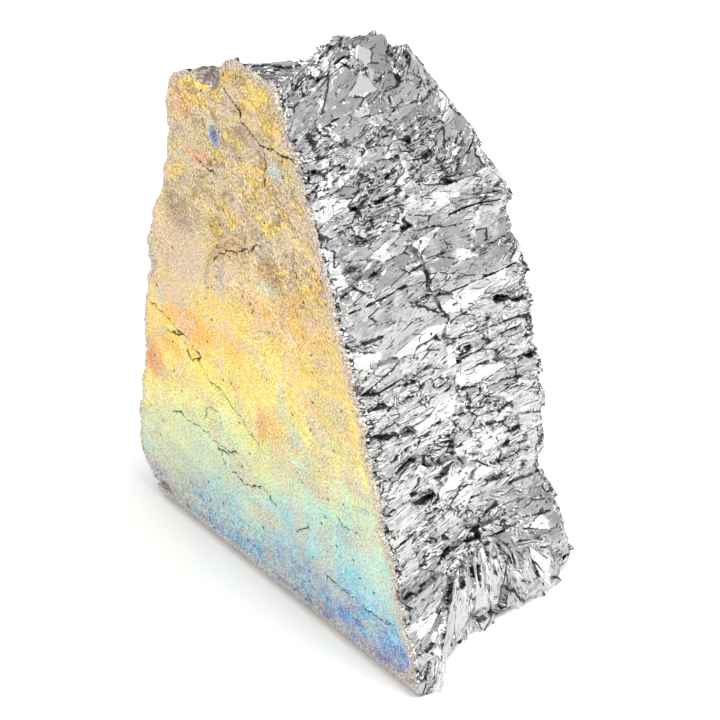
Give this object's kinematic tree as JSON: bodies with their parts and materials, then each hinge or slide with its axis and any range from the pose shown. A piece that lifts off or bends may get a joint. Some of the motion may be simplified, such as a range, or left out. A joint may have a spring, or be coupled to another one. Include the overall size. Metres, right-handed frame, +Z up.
{
  "type": "bismuth metal chunk",
  "caption": "Broken chunk of cast bismuth metal, with flat oxide-tinted cast faces, a flat cast foot, and bright crystalline breaks stepped with blades.",
  "frame": {"origin": "on the ground, under the middle of the chunk's bounding box", "axes": "+Z up from the cast foot, -Y out of the oxide-coloured cast face, +X out of the tall bright break"},
  "size_m": [0.078, 0.044, 0.0929],
  "materials": {
    "bismuth": "bright crystalline metal on the breaks, satin thin-film oxide colours on the cast faces"
  },
  "bodies": {
    "root": {"bismuth_chunk": "bismuth"}
  },
  "joints": []
}
